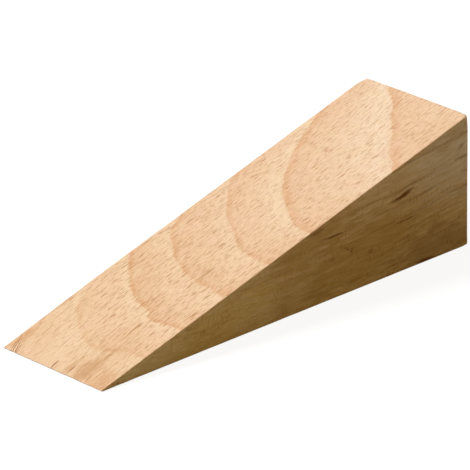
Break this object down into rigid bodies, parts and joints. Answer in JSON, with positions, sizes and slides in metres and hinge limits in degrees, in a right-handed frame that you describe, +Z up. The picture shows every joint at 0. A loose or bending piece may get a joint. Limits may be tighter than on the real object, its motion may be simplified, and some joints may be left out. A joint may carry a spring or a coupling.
{
  "type": "door wedge",
  "caption": "Plain solid wooden door wedge with a flat base, a sloped top that runs from a thin edge to a square thick end, and lightly rounded edges.",
  "frame": {"origin": "middle of the base, at floor level", "axes": "+X from the thin edge towards the thick end, +Y across the wedge, +Z up from the floor"},
  "size_m": [0.142, 0.04, 0.0388],
  "materials": {
    "beech": "bare sanded wood"
  },
  "bodies": {
    "root": {"wedge_block": "beech"}
  },
  "joints": []
}
